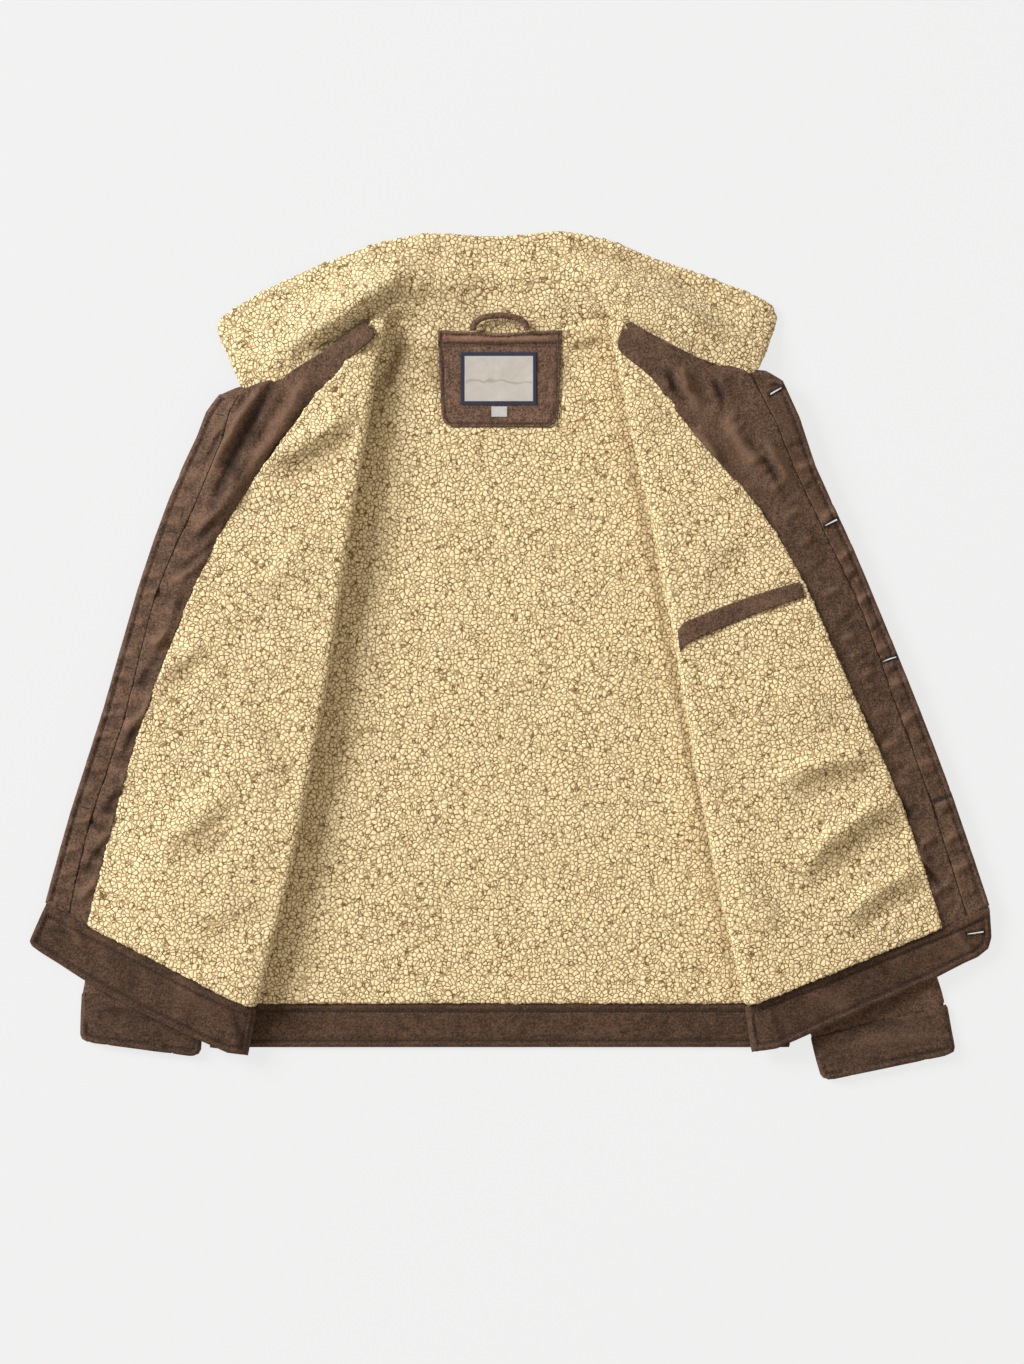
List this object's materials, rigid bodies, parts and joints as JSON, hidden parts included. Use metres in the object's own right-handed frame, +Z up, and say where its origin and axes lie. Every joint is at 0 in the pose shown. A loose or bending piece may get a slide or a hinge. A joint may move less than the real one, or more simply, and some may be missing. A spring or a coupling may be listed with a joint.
{
  "type": "sherpa lined jacket",
  "caption": "Suede trucker jacket with a sherpa lining, laid flat on its back with both fronts folded open and the collar fanned out.",
  "frame": {"origin": "middle of the jacket's bounding box on the surface it lies on; the jacket's own centre line is about 10 mm to the left of it", "axes": "+Z up out of the surface, +Y from the hem to the collar, +X across the jacket to the wearer's left front"},
  "size_m": [0.9126, 0.8062, 0.0329],
  "materials": {
    "suede_shell": "brown napped suede",
    "suede_facing": "brown napped suede, lightly creased",
    "suede_band": "dark brown napped suede, edge stitched",
    "suede_patch": "brown suede, edge stitched",
    "sherpa": "curly cream pile",
    "label_cloth": "woven label, plain cream with a navy border",
    "size_label_cloth": "plain woven tab",
    "button_metal": "antique brass"
  },
  "bodies": {
    "root": {"back_shell": "suede_shell", "back_lining": "sherpa", "back_waistband": "suede_band", "left_front_shell": "suede_shell", "left_front_lining": "sherpa", "left_facing": "suede_facing", "left_placket": "suede_facing", "left_waistband": "suede_band", "left_sleeve": "suede_shell", "left_cuff": "suede_band", "right_front_shell": "suede_shell", "right_front_lining": "sherpa", "right_facing": "suede_facing", "right_placket": "suede_facing", "right_waistband": "suede_band", "right_sleeve": "suede_shell", "right_cuff": "suede_band", "collar_shell": "suede_shell", "collar_lining": "sherpa", "neck_patch": "suede_patch", "main_label": "label_cloth", "size_label": "size_label_cloth", "hang_loop": "suede_patch", "pocket_welt": "suede_facing", "button_1": "button_metal", "button_2": "button_metal", "button_3": "button_metal", "button_4": "button_metal", "button_5": "button_metal"}
  },
  "joints": []
}
